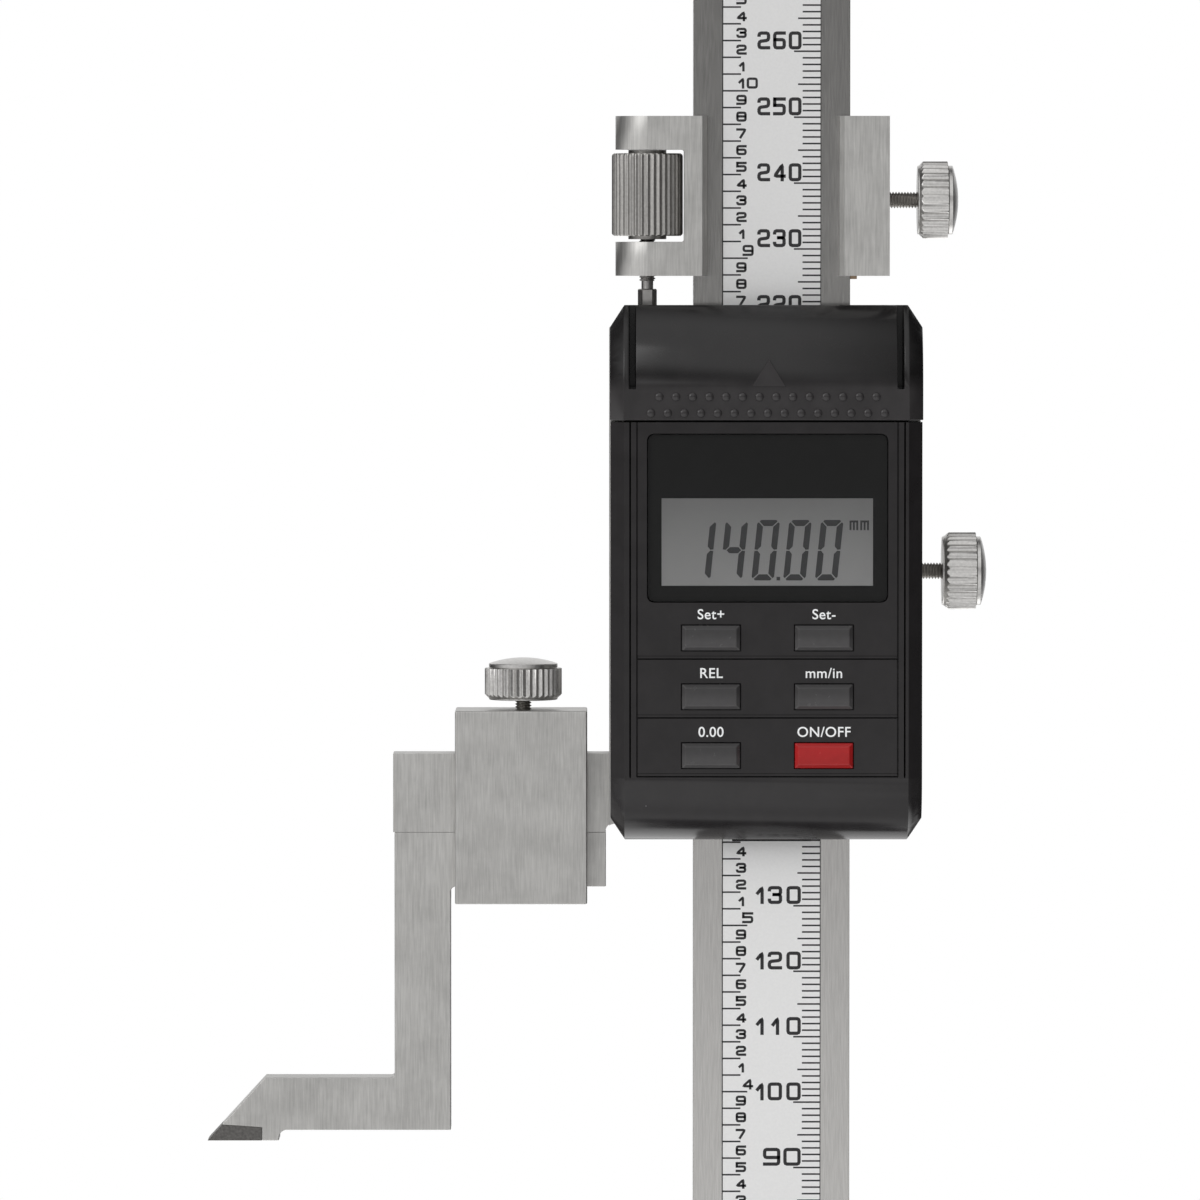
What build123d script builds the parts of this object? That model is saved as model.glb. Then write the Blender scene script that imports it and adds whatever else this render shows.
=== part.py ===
from build123d import *
import os
from math import cos, pi, sin, sqrt

# Digital height gauge. Millimetres, +Z up the beam, the front faces -Y, +X is to the right.
# The origin is on the underside of the base, below the middle of the beam.
# The slider is modelled where the display reads 140.00.

# Driving dimensions

# Reading, which is the height of the scriber's lower face above the base plane
reading = 140.0

# Fits
slide_gap = 0.05
seat_gap = 0.02
thread_gap = 0.03
button_gap = 0.12

# Beam and scale
beam_width = 23.8
beam_thick = 8.0
beam_foot = 12.0
beam_top = 474.0
beam_chamfer = 0.8
groove_width = 15.0
groove_depth = 0.65
groove_start = 45.0
board_thick = 0.45
film_thick = 0.12
scale_end_gap = 1.5
stop_below_top = 3.6
stop_radius = 1.25
stop_head_radius = 2.0
stop_head = 1.2
stop_depth = 5.0
stop_inset = 2.6

# Base casting
base_length = 100.0
base_depth = 62.0
base_height = 30.0
base_corner = 9.0
base_edge = 2.0
base_clear_of_leg = 2.8
pedestal_wall = 7.5
pedestal_wall_back = 7.5
pedestal_top = 43.0
pedestal_flare = 4.0
pedestal_corner = 5.0
grip_radius = 12.0
grip_depth = 5.0
grip_height = 15.5
grip_end = 14.0
land_rim = 9.0
land_middle = 26.0
land_relief = 1.2
beam_screw_radius = 2.5
beam_screw_head_radius = 4.25
beam_screw_head = 5.0
beam_screw_reach = 12.0
beam_screw_pitch = 13.0
beam_screw_sunk = 1.0
hex_flats = 4.0
hex_depth = 2.4
beam_screw_play = 0.25

# Slider frame and its jaw
wall_left = 12.75
wall_right = 9.55
wall_front = 2.75
wall_back = 4.15
frame_height = 79.1
frame_chamfer = 2.4
lip_left = 2.0
lip_right = 1.6
lip_chamfer = 0.7
jaw_drop = 47.1
jaw_length = 32.9
jaw_height = 12.0
jaw_thick = 6.5
jaw_centre = -0.7
jaw_relief = 1.45
jaw_relief_in = 0.85

# Gibs, set screws and lock screws
gib_thick = 1.0
gib_width = 7.0
gib_hang = 0.5
set_screw_radius = 1.5
set_screw_length = 4.0
set_screw_low = 15.5
set_screw_high = 64.0
slot_wide = 0.5
set_screw_slot = 0.8
thread_radius = 1.25
pad_radius = 1.15
pad_length = 1.5
lock_height = 39.7
thumb_radius = 5.87
thumb_teeth = 30
tooth_depth = 0.32
slider_knurl = 4.3
carriage_knurl = 3.75
clamp_knurl = 3.95
thumb_back = 0.85
thumb_cap_radius = 5.2
thumb_cap_step = 0.75
thumb_dome = 0.85
thumb_dome_run = 2.4
slider_neck = 3.5
carriage_neck = 4.4
clamp_neck = 1.5

# Display housing, from the back plane forward
case_inset = 0.2
case_overhang = 0.1
face_shift = 0.13
case_hang = 0.8
case_height = 63.46
cover_height = 17.64
cover_step = 0.12
seam = 0.3
case_depth = 8.2
case_wall = 1.5
case_edge = 2.1
top_rise = 12.3
top_setback = 7.0
low_rise = 9.6
low_setback = 6.5
chamfer_wide = 2.2
chamfer_tall = 3.4
window_width = 36.3
window_low = 36.3
window_height = 25.4
window_corner = 1.0
window_thick = 0.9
window_sunk = 0.1
lcd_width = 33.6
lcd_height = 16.2
lcd_low = 37.4
lcd_thick = 1.6
connector_thick = 1.6
panel_width = 39.4
panel_rail = 1.05
panel_low = 9.9
panel_line = 0.22
panel_line_depth = 0.2
boss_width = 4.4
case_screw_radius = 1.0
case_screw_head_radius = 1.9
case_screw_head = 1.3
case_screw_in = 5.1
case_screw_low = 7.4
case_screw_high = 57.4
case_screw_bore = 8.0
case_screw_grip = 5.0

# Keys
key_width = 8.8
key_height = 3.8
key_pitch_x = 17.06
key_pitch_z = 8.9
key_low = 13.1
key_proud = 0.8
key_bevel = 0.55
key_flange = 0.7
key_flange_thick = 0.8
key_travel = 0.6
key_stem = 2.5

# Electronics
reader_thick = 1.6
reader_rebate = 1.75
reader_overhang = 2.2
reader_low = 0.6
reader_high = 58.5
mat_thick = 0.6
mat_rim = 3.0
dome_width = 4.0
dome_height = 1.0
connector_in = 1.5
wiper_width = 12.0
wiper_height = 3.6
wiper_hang = 0.4
cell_radius = 5.8
cell_thick = 5.4
cell_rim = 0.5
cell_cap_step = 1.2
cell_low = 61.96
contact_thick = 0.2
contact_width = 3.0
tray_wall = 1.2
tray_plate = 1.3
tray_high = 13.0
tray_step = 0.8
tray_drop = 2.0

# Battery cover details
channel_width = 1.0
channel_rail = 2.8
channel_low = 5.0
channel_floor = 0.8
channel_wall = 1.2
seam_lip_width = 34.0
seam_lip_rise = 1.5
cover_wall = 1.2
cover_back_gap = 0.2

# Fine adjustment
carriage_gap = 5.6
carriage_height = 24.25
carriage_wall_left = 1.35
carriage_wall_right = 4.85
slot_low = 5.15
slot_height = 14.0
slot_fillet = 0.4
arm_radius = 4.85
rod_out = 6.95
nut_radius = 5.4
nut_length = 12.55
nut_teeth = 36
collar_radius = 2.9
collar_low = 0.5
collar_high = 0.5
rod_clear = 0.25
rod_in_frame = 9.0
rod_hex_flats = 2.5
rod_hex_top = 3.6
rod_neck_radius = 0.9
rod_neck_length = 1.2
rod_top = 24.0
carriage_lock_height = 11.5

# Scriber and its clamp
shank_height = 8.3
shank_end_gap = 0.5
leg_inset = 0.2
leg_width = 8.55
foot_rise = 1.6
foot_height = 8.0
foot_reach = 37.1
sole_length = 10.9
sole_fillet = 1.2
tip_slope_run = 8.8
tip_height = 2.4
tip_length = 8.3
tip_step = 0.4
inner_fillet = 0.6
leg_fillet = 0.8
clamp_left_gap = 0.7
clamp_width = 20.1
clamp_height = 29.4
clamp_floor = 2.45
clamp_wall = 2.85
clamp_side_gap = 0.15
clamp_roof = 4.8
clamp_screw_offset = 0.3
clamp_chamfer = 0.15

# How far cutting tools reach past the face they cut
over = 1.0

# Places worked out from the sizes above
beam_front = -beam_thick / 2
beam_back = beam_thick / 2
beam_side = beam_width / 2
channel_left = -beam_side - slide_gap
channel_right = beam_side + gib_thick + 2 * slide_gap
channel_front = beam_front - slide_gap
channel_back = beam_back + slide_gap
frame_front = channel_front - wall_front
frame_back = channel_back + wall_back
frame_left = channel_left - wall_left
frame_right = channel_right + wall_right
mouth_left = -beam_side + lip_left
mouth_right = beam_side - lip_right
jaw_low = reading + jaw_drop
frame_low = jaw_low
frame_high = frame_low + frame_height
jaw_left = frame_left - jaw_length
jaw_front = jaw_centre - jaw_thick / 2
jaw_back = jaw_centre + jaw_thick / 2
lock_z = frame_low + lock_height

case_left = frame_left + case_inset
case_right = frame_right + case_overhang
case_middle = (case_left + case_right) / 2 + face_shift
case_back = frame_front
case_front = case_back - case_depth
case_low = frame_low - case_hang
case_seam = case_low + case_height
case_high = case_seam + cover_height
inner_front = case_front + case_wall
window_z = case_low + window_low + window_height / 2
lcd_z = case_low + lcd_low + lcd_height / 2
window_front = case_front + window_sunk
window_back = window_front + window_thick
lcd_front = window_back + slide_gap
lcd_back = lcd_front + lcd_thick
reader_front = frame_front + reader_rebate - reader_thick
reader_back = frame_front + reader_rebate
reader_left = channel_left - reader_overhang
reader_right = channel_right + reader_overhang
mat_front = reader_front - mat_thick
cell_z = case_low + cell_low + cell_radius
cell_back = case_back - contact_thick - slide_gap
cell_front = cell_back - cell_thick
cell_floor = cell_z - cell_radius - slide_gap - contact_thick

carriage_low = frame_high + carriage_gap
carriage_high = carriage_low + carriage_height
carriage_left = channel_left - carriage_wall_left
carriage_right = channel_right + carriage_wall_right
rod_x = channel_left - rod_out
rod_y = frame_front + arm_radius
slot_floor = carriage_low + slot_low
slot_roof = slot_floor + slot_height
carriage_lock_z = carriage_low + carriage_lock_height
nut_high = slot_roof - slide_gap - collar_high
nut_low = nut_high - nut_length

shank_low = jaw_low - shank_height
leg_left = jaw_left + leg_inset
leg_right = leg_left + leg_width
tip_x = leg_right - foot_reach
foot_low = reading + foot_rise
foot_high = foot_low + foot_height
clamp_left = leg_right + clamp_left_gap
clamp_right = clamp_left + clamp_width
clamp_low = shank_low - slide_gap - clamp_floor
clamp_high = clamp_low + clamp_height
clamp_front = jaw_front - clamp_side_gap - clamp_wall
clamp_back = jaw_back + clamp_side_gap + clamp_wall
clamp_x = (clamp_left + clamp_right) / 2 + clamp_screw_offset
jaw_high = jaw_low + jaw_height
base_left = leg_right + base_clear_of_leg
base_middle = base_left + base_length / 2


# Small helpers

def block(x0, x1, y0, y1, z0, z1):
    """A box between two opposite corners."""
    middle = Pos((x0 + x1) / 2, (y0 + y1) / 2, (z0 + z1) / 2)
    return middle * Box(x1 - x0, y1 - y0, z1 - z0)


def bar(start, end, radius):
    """A round bar from one point to another."""
    run = Vector(*end) - Vector(*start)
    plane = Plane(origin=start, z_dir=run)
    return extrude(plane * Circle(radius), amount=run.length)


def front_plate(face, y_front, y_back):
    """A face drawn in X and Z, made solid from y_front back to y_back."""
    return extrude(Plane.XZ.offset(-y_back) * face, amount=y_back - y_front, dir=(0, -1, 0))


def side_plate(face, x0, x1):
    """A face drawn in Y and Z, made solid from x0 to x1."""
    return extrude(Plane.YZ.offset(x0) * face, amount=x1 - x0, dir=(1, 0, 0))


def plan_plate(face, z0, z1):
    """A face drawn in X and Y, made solid from z0 up to z1."""
    return extrude(Plane.XY.offset(z0) * face, amount=z1 - z0, dir=(0, 0, 1))


def rounded_block(x, z, width, height, corner, y_front, y_back):
    """A plate with rounded corners, seen from the front."""
    return front_plate(Pos(x, z) * RectangleRounded(width, height, corner), y_front, y_back)


def round_bore(x, z, y_front, y_back, radius):
    """A round tool for a hole bored along Y, or a round pin that fills it."""
    return bar((x, y_front, z), (x, y_back, z), radius)


def knurled(radius, teeth, low, high):
    """A straight-knurled bar on Z."""
    points = []
    for number in range(2 * teeth):
        reach = radius - tooth_depth * (number % 2)
        turn = number * pi / teeth
        points.append((reach * cos(turn), reach * sin(turn)))
    return plan_plate(Polygon(*points, align=None), low, high)


def turned(points):
    """A solid turned about Z from an outline given as radius and height."""
    return revolve(Plane.XZ * Polygon(*points, align=None), axis=Axis.Z)


# Base and beam

def make_base():
    """The casting: rounded block, finger grips, flared pedestal, beam pocket and relieved sole."""
    outline = Pos(base_middle, 0) * RectangleRounded(base_length, base_depth, base_corner)
    body = plan_plate(outline, 0, base_height)
    body = chamfer(body.edges().group_by(Axis.Z)[-1], base_edge)
    ped_front = beam_front - pedestal_wall
    ped_back = beam_back + pedestal_wall_back
    ped_y = (ped_front + ped_back) / 2
    ped_width = beam_width + 2 * pedestal_wall
    ped_depth = ped_back - ped_front
    low = RectangleRounded(ped_width + 2 * pedestal_flare, ped_depth + 2 * pedestal_flare, pedestal_corner)
    high = RectangleRounded(ped_width, ped_depth, pedestal_corner)
    pedestal = loft([Pos(0, ped_y, base_height - base_edge) * low, Pos(0, ped_y, pedestal_top) * high])
    body = body + pedestal
    grip_run = base_length / 2 - grip_end
    for side in (-1, 1):
        grip_y = side * (base_depth / 2 + grip_radius - grip_depth)
        body = body - bar((base_middle - grip_run, grip_y, grip_height),
                          (base_middle + grip_run, grip_y, grip_height), grip_radius)
    body = body - block(-beam_side - seat_gap, beam_side + seat_gap, beam_front - seat_gap,
                        beam_back + seat_gap, beam_foot, pedestal_top + over)
    for x in beam_screw_places():
        body = body - bar((x, 0, -over), (x, 0, beam_foot + over), beam_screw_radius + seat_gap)
        body = body - bar((x, 0, -over), (x, 0, beam_screw_sunk + beam_screw_head),
                          beam_screw_head_radius + beam_screw_play)
    pocket_depth = base_depth - 2 * land_rim
    for side, edge in ((-1, base_left), (1, base_left + base_length)):
        inner = side * land_middle / 2
        outer = edge - side * land_rim
        pocket = Rectangle(abs(outer - inner), pocket_depth)
        body = body - plan_plate(Pos((inner + outer) / 2, 0) * pocket, -over, land_relief)
    return body


def beam_screw_places():
    """Where the two screws come up through the base into the foot of the beam."""
    return [-beam_screw_pitch / 2, beam_screw_pitch / 2]


def make_beam_screws():
    """Two socket-head screws that draw the beam down into its pocket from under the base."""
    parts = []
    seat = beam_screw_sunk + beam_screw_head
    for x in beam_screw_places():
        screw = bar((x, 0, seat), (x, 0, beam_foot + beam_screw_reach), beam_screw_radius)
        screw = screw + bar((x, 0, beam_screw_sunk), (x, 0, seat), beam_screw_head_radius)
        socket = Pos(x, 0) * RegularPolygon(hex_flats / 2, 6, major_radius=False)
        parts.append(screw - plan_plate(socket, 0, beam_screw_sunk + hex_depth))
    return Compound(children=parts)


def make_beam():
    """The ground column with the groove for the scale and its tapped holes."""
    beam = block(-beam_side, beam_side, beam_front, beam_back, beam_foot, beam_top)
    beam = chamfer(beam.faces().sort_by(Axis.Z)[-1].edges(), beam_chamfer)
    beam = beam - block(-groove_width / 2, groove_width / 2, beam_front - over,
                        beam_front + groove_depth, groove_start, beam_top + over)
    for x in beam_screw_places():
        beam = beam - bar((x, 0, beam_foot - over), (x, 0, beam_foot + beam_screw_reach + seat_gap),
                          beam_screw_radius + seat_gap)
    stop_x, stop_z = stop_place()
    return beam - round_bore(stop_x, stop_z, beam_front - over, beam_front + stop_depth + seat_gap,
                             stop_radius + seat_gap)


def stop_place():
    """The stop screw sits beside the scale, just below the top of the beam."""
    return beam_side - stop_inset, beam_top - stop_below_top


def make_stop_screw():
    """The small screw that keeps the slider from running off the beam."""
    x, z = stop_place()
    screw = round_bore(x, z, beam_front, beam_front + stop_depth, stop_radius)
    return screw + round_bore(x, z, beam_front - stop_head, beam_front, stop_head_radius)


def make_scale_board():
    """The patterned board of the capacitive scale, bonded into the groove."""
    back = beam_front + groove_depth
    return block(-groove_width / 2 + slide_gap, groove_width / 2 - slide_gap, back - board_thick, back,
                 groove_start + slide_gap, beam_top - scale_end_gap)


def make_scale_film():
    """The printed film on top of the scale board."""
    back = beam_front + groove_depth - board_thick
    return block(-groove_width / 2 + slide_gap, groove_width / 2 - slide_gap, back - film_thick, back,
                 groove_start + slide_gap, beam_top - scale_end_gap)


# Slider

def sliding_block(left, right, low, high):
    """A block that wraps the beam: channel for beam and gib, and a chamfered mouth in front."""
    body = block(left, right, frame_front, frame_back, low, high)
    body = body - block(channel_left, channel_right, channel_front, channel_back, low - over, high + over)
    wide_left = mouth_left - lip_chamfer
    wide_right = mouth_right + lip_chamfer
    mouth = Polygon((mouth_left, 0), (mouth_right, 0), (mouth_right, frame_front + lip_chamfer),
                    (wide_right, frame_front), (wide_right, frame_front - over),
                    (wide_left, frame_front - over), (wide_left, frame_front),
                    (mouth_left, frame_front + lip_chamfer), align=None)
    return body - plan_plate(mouth, low - over, high + over)


def case_screw_places():
    """Where the four housing screws go through the slider frame."""
    return [(x, case_low + z) for x in (case_left + case_screw_in, case_right - case_screw_in)
            for z in (case_screw_low, case_screw_high)]


def set_screw_heights():
    """Where the two set screws of the slider's gib are."""
    return [frame_low + set_screw_low, frame_low + set_screw_high]


def make_slider_frame():
    """The steel slider with its measuring jaw, rebate, tapped holes and screw holes."""
    body = sliding_block(frame_left, frame_right, frame_low, frame_high)
    corners = body.edges().filter_by(Axis.Y).group_by(Axis.Z)[-1].sort_by(Axis.X)
    corners = [corners[0], corners[-1]]
    corners += body.edges().filter_by(Axis.Y).group_by(Axis.Z)[0].sort_by(Axis.X)[-1:]
    body = chamfer(corners, frame_chamfer)
    body = body + block(jaw_left, frame_left + over, jaw_front, jaw_back, jaw_low, jaw_high)
    body = body - round_bore(frame_left + jaw_relief_in, jaw_low, frame_front - over, frame_back + over,
                             jaw_relief)
    body = body - block(reader_left - slide_gap, reader_right + slide_gap, frame_front - over, reader_back,
                        frame_low - over, frame_low + reader_high + slide_gap)
    wall = (channel_right - over, frame_right + over)
    body = body - bar((wall[0], 0, lock_z), (wall[1], 0, lock_z), thread_radius + thread_gap)
    for z in set_screw_heights():
        body = body - bar((wall[0], 0, z), (wall[1], 0, z), set_screw_radius + seat_gap)
    for x, z in case_screw_places():
        body = body - round_bore(x, z, frame_front - over, frame_back + over, case_screw_radius + seat_gap)
        body = body - round_bore(x, z, frame_back - case_screw_bore, frame_back + over,
                                 case_screw_head_radius + seat_gap)
    return body - bar((rod_x, rod_y, frame_high - rod_in_frame), (rod_x, rod_y, frame_high + over),
                      thread_radius + seat_gap)


def make_gib(low, high):
    """The bronze strip between the beam and the right wall."""
    left = beam_side + slide_gap
    return block(left, left + gib_thick, -gib_width / 2, gib_width / 2, low, high)


def make_set_screws():
    """Two slotted set screws that take up the play of the slider's gib."""
    parts = []
    start = channel_right - slide_gap + seat_gap
    end = start + set_screw_length
    for z in set_screw_heights():
        screw = bar((start, 0, z), (end, 0, z), set_screw_radius)
        slot = block(end - set_screw_slot, end + over, -2 * set_screw_radius, 2 * set_screw_radius,
                     z - slot_wide / 2, z + slot_wide / 2)
        parts.append(screw - slot)
    return Compound(children=parts)


def make_lock_pad():
    """The brass slug ahead of a thumb screw, lying on Z from 0 up."""
    return bar((0, 0, 0), (0, 0, pad_length), pad_radius)


def make_thumb_screw(stem, knurl_length):
    """A knurled thumb screw on Z: its tip at 0, the head above a stem of the given length."""
    knurl_end = stem + thumb_back + knurl_length
    cap_edge = knurl_end + thumb_cap_step
    head = knurled(thumb_radius, thumb_teeth, stem + thumb_back, knurl_end)
    core = turned([(0, 0), (thread_radius, 0), (thread_radius, stem), (thumb_cap_radius, stem),
                   (thumb_cap_radius, cap_edge), (thumb_cap_radius - thumb_dome_run, cap_edge + thumb_dome),
                   (0, cap_edge + thumb_dome)])
    return head + core


def along_x(x, z):
    """Places what was made on Z so that it points to +X from a point on the beam's middle plane."""
    return Pos(x, 0, z) * Rot(0, 90, 0)


def make_side_lock(wall_face, z, neck, knurl_length):
    """A lock pad against the gib and its thumb screw, for a wall that ends at wall_face."""
    start = beam_side + gib_thick + slide_gap + seat_gap
    pad = along_x(start, z) * make_lock_pad()
    screw_start = start + pad_length + seat_gap
    screw = along_x(screw_start, z) * make_thumb_screw(wall_face + neck - screw_start, knurl_length)
    return pad, screw


# Housing

def case_profile(inset, low, high, back):
    """The side view of the housing: flat front, and two arcs that roll off to its ends."""
    front = case_front + inset
    top_break = case_high - top_rise
    low_break = case_low + low_rise
    top_radius = (top_rise ** 2 + top_setback ** 2) / (2 * top_setback)
    low_radius = (low_rise ** 2 + low_setback ** 2) / (2 * low_setback)
    centre_top = case_front + top_radius
    centre_low = case_front + low_radius
    top_end = centre_top - sqrt((top_radius - inset) ** 2 - (high - top_break) ** 2)
    low_end = centre_low - sqrt((low_radius - inset) ** 2 - (low_break - low) ** 2)
    top_mid = (high - top_break) / 2
    low_mid = (low_break - low) / 2
    outline = [
        Line((back, low), (low_end, low)),
        ThreePointArc((low_end, low), (centre_low - sqrt((low_radius - inset) ** 2 - low_mid ** 2),
                                       low_break - low_mid), (front, low_break)),
        Line((front, low_break), (front, top_break)),
        ThreePointArc((front, top_break), (centre_top - sqrt((top_radius - inset) ** 2 - top_mid ** 2),
                                           top_break + top_mid), (top_end, high)),
        Line((top_end, high), (back, high)),
        Line((back, high), (back, low)),
    ]
    return make_face(Curve() + outline)


def case_outline(left, right, low, high, wide, tall):
    """The front view of the housing: a rectangle with four bevelled corners."""
    return Polygon((left + wide, low), (right - wide, low), (right, low + tall), (right, high - tall),
                   (right - wide, high), (left + wide, high), (left, high - tall), (left, low + tall),
                   align=None)


def case_body(inset, widen):
    """The whole outside of housing and cover, or with an inset the hollow inside them."""
    left = case_left + inset - widen
    right = case_right - inset + widen
    low = case_low + inset
    high = case_high - inset
    back = case_back + inset
    front = case_front + inset
    body = side_plate(case_profile(inset, low, high, back), left, right)
    rims = []
    for edge in body.edges():
        spread = edge.bounding_box()
        if spread.size.X < seat_gap and spread.min.Y < front + seat_gap:
            rims.append(edge)
    body = chamfer(rims, case_edge)
    outline = case_outline(left, right, low, high, chamfer_wide, chamfer_tall)
    return body & front_plate(outline, case_front - over, back)


def key_places():
    """Centres of the six keys, row by row from the bottom."""
    return [(case_middle + side * key_pitch_x / 2, case_low + key_low + row * key_pitch_z)
            for row in range(3) for side in (-1, 1)]


def groove_x(x, low, high):
    """A thin upright panel line in the housing's front."""
    return block(x - panel_line / 2, x + panel_line / 2, case_front - over, case_front + panel_line_depth,
                 low, high)


def groove_z(z, left, right):
    """A thin level panel line in the housing's front."""
    return block(left, right, case_front - over, case_front + panel_line_depth,
                 z - panel_line / 2, z + panel_line / 2)


def panel_lines():
    """The moulded frame of lines round the window and the key rows."""
    half = panel_width / 2
    low = case_low + panel_low
    top = case_seam
    lines = [groove_x(case_middle + side * half, low, top) for side in (-1, 1)]
    lines += [groove_x(case_middle + side * (half + panel_rail), low, top) for side in (-1, 1)]
    lines += [groove_z(low + row * key_pitch_z, case_middle - half, case_middle + half) for row in range(3)]
    return lines


def make_housing():
    """The moulded front shell: window seat, key openings, screw bosses and the battery tray."""
    left = case_left - over
    right = case_right + over
    shell = case_body(0, 0) & block(left, right, case_front - over, case_back, case_low - over, case_seam)
    hollow = case_body(case_wall, 0) & block(left, right, case_front - over, case_back + case_wall,
                                             case_low - over, case_seam - case_wall)
    shell = shell - hollow
    for x, z in case_screw_places():
        half = boss_width / 2
        shell = shell + block(x - half, x + half, inner_front - slide_gap, case_back, z - half, z + half)
        shell = shell - round_bore(x, z, case_back - case_screw_grip, case_back + over,
                                   case_screw_radius + seat_gap)
    seat_width = window_width + 2 * slide_gap
    seat_height = window_height + 2 * slide_gap
    shell = shell - rounded_block(case_middle, window_z, seat_width, seat_height, window_corner,
                                  case_front - over, window_back)
    lcd_hole = Pos(case_middle, lcd_z) * Rectangle(lcd_width + 2 * slide_gap, lcd_height + 2 * slide_gap)
    shell = shell - front_plate(lcd_hole, case_front, inner_front + over)
    for x, z in key_places():
        key_hole = Pos(x, z) * Rectangle(key_width + 2 * button_gap, key_height + 2 * button_gap)
        shell = shell - front_plate(key_hole, case_front - over, inner_front + over)
    for line in panel_lines():
        shell = shell - line
    lip_half = seam_lip_width / 2
    shell = shell + block(case_middle - lip_half, case_middle + lip_half, case_front + cover_wall + seat_gap,
                          cell_front - slide_gap, case_seam - case_wall, case_seam + seam_lip_rise)
    half = cell_radius + slide_gap
    shell = shell - block(case_middle - half, case_middle + half, cell_front - slide_gap,
                          case_back + over, cell_floor, case_seam + over)
    rib_front = cell_front + cell_rim + tray_step
    for side in (-1, 1):
        inner = case_middle + side * half
        outer = inner + side * tray_wall
        shell = shell + block(min(inner, outer), max(inner, outer), rib_front, case_back,
                              cell_floor - tray_wall, case_seam + tray_high - tray_drop)
    tray_left = case_middle - half - tray_wall
    tray_right = case_middle + half + tray_wall
    shell = shell + block(tray_left, tray_right, rib_front, case_back, cell_floor - tray_wall, cell_floor)
    return shell + block(tray_left, tray_right, case_back, case_back + tray_plate,
                         cell_floor - tray_wall, case_seam + tray_high)


def make_window():
    """The clear window with its rounded corners."""
    return rounded_block(case_middle, window_z, window_width, window_height, window_corner - slide_gap,
                         window_front, window_back)


def make_lcd():
    """The liquid-crystal cell behind the window."""
    return block(case_middle - lcd_width / 2, case_middle + lcd_width / 2, lcd_front, lcd_back,
                 lcd_z - lcd_height / 2, lcd_z + lcd_height / 2)


def make_connectors():
    """Two elastomer strips that join the cell to the reader board."""
    half = (reader_right - reader_left) / 2 - connector_in
    middle = (reader_left + reader_right) / 2
    parts = []
    for low in (lcd_z - lcd_height / 2, lcd_z + lcd_height / 2 - connector_thick):
        parts.append(block(middle - half, middle + half, lcd_back, reader_front, low, low + connector_thick))
    return Compound(children=parts)


def make_reader_board():
    """The circuit board that reads the scale, bonded in the rebate across the slider's mouth."""
    return block(reader_left, reader_right, reader_front, reader_back, frame_low + reader_low,
                 frame_low + reader_high)


def make_key_mat():
    """The silicone switch mat on the reader board, with a dome under each key."""
    places = key_places()
    xs = [x for x, z in places]
    zs = [z for x, z in places]
    mat = block(min(xs) - mat_rim, max(xs) + mat_rim, mat_front, reader_front,
                min(zs) - mat_rim, max(zs) + mat_rim)
    for x, z in places:
        dome = Pos(x, z) * Rectangle(dome_width, dome_width)
        mat = mat + front_plate(dome, mat_front - dome_height, mat_front)
    return mat


def make_key(x, z):
    """One key: bevelled cap through the front, a flange behind it and a stem to the mat."""
    flange_front = inner_front + slide_gap
    cap = front_plate(Pos(x, z) * Rectangle(key_width, key_height), case_front - key_proud, flange_front)
    cap = chamfer(cap.faces().sort_by(Axis.Y)[0].edges(), key_bevel)
    flange = front_plate(Pos(x, z) * Rectangle(key_width + 2 * key_flange, key_height + 2 * key_flange),
                         flange_front, flange_front + key_flange_thick)
    stem_end = mat_front - dome_height - key_travel - slide_gap
    return cap + flange + front_plate(Pos(x, z) * Rectangle(key_stem, key_stem), flange_front, stem_end)


def make_case_screws():
    """Four screws that come through the slider frame from behind into the housing's bosses."""
    parts = []
    seat = frame_back - case_screw_bore
    for x, z in case_screw_places():
        screw = round_bore(x, z, case_back - case_screw_grip + seat_gap, seat, case_screw_radius)
        head = round_bore(x, z, seat, seat + case_screw_head, case_screw_head_radius)
        parts.append(screw + head)
    return Compound(children=parts)


def make_wiper():
    """The felt wiper at the slider's lower end, just clear of the scale."""
    half = wiper_width / 2
    low = case_low - wiper_hang
    back = channel_front
    wiper = block(-half, half, reader_back, back, low, low + wiper_height)
    return wiper + block(-half, half, reader_front, back, low, frame_low + reader_low)


def make_cell():
    """The button cell with its narrower negative end, which faces back."""
    low = Plane(origin=(case_middle, cell_front, cell_z), z_dir=(0, 1, 0))
    can = extrude(low * Circle(cell_radius), amount=cell_thick - cell_rim)
    cap = extrude(low * Circle(cell_radius - cell_cap_step), amount=cell_thick)
    return can + cap


def make_contacts():
    """The two spring leaves of the cell: one behind it and one under its rim."""
    half = contact_width / 2
    back_leaf = block(case_middle - half, case_middle + half, cell_back, cell_back + contact_thick,
                      cell_z - cell_radius, cell_z + cell_radius)
    low_leaf = block(case_middle - half, case_middle + half, cell_front + over, cell_back - over,
                     cell_floor, cell_floor + contact_thick)
    return Compound(children=[back_leaf, low_leaf])


def make_cover():
    """The sliding battery cover: rolled top with a channel down each side."""
    low = case_seam + seam
    back = case_back - cover_back_gap
    left = case_left - case_depth
    right = case_right + case_depth
    front = case_front - over
    body = case_body(0, cover_step) & block(left, right, front, back, low, case_high + over)
    flank = channel_rail + channel_width + channel_wall
    body = body - (case_body(cover_wall, cover_step) & block(case_left + flank, case_right - flank, front,
                                                             case_back, low - over, case_high + over))
    for side, edge in ((-1, case_left), (1, case_right)):
        inner = edge - side * (channel_rail + channel_width)
        outer = edge - side * channel_rail
        body = body - block(min(inner, outer), max(inner, outer), front, back - channel_floor,
                            case_seam + channel_low, case_high + over)
    return body


# Fine adjustment

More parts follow.
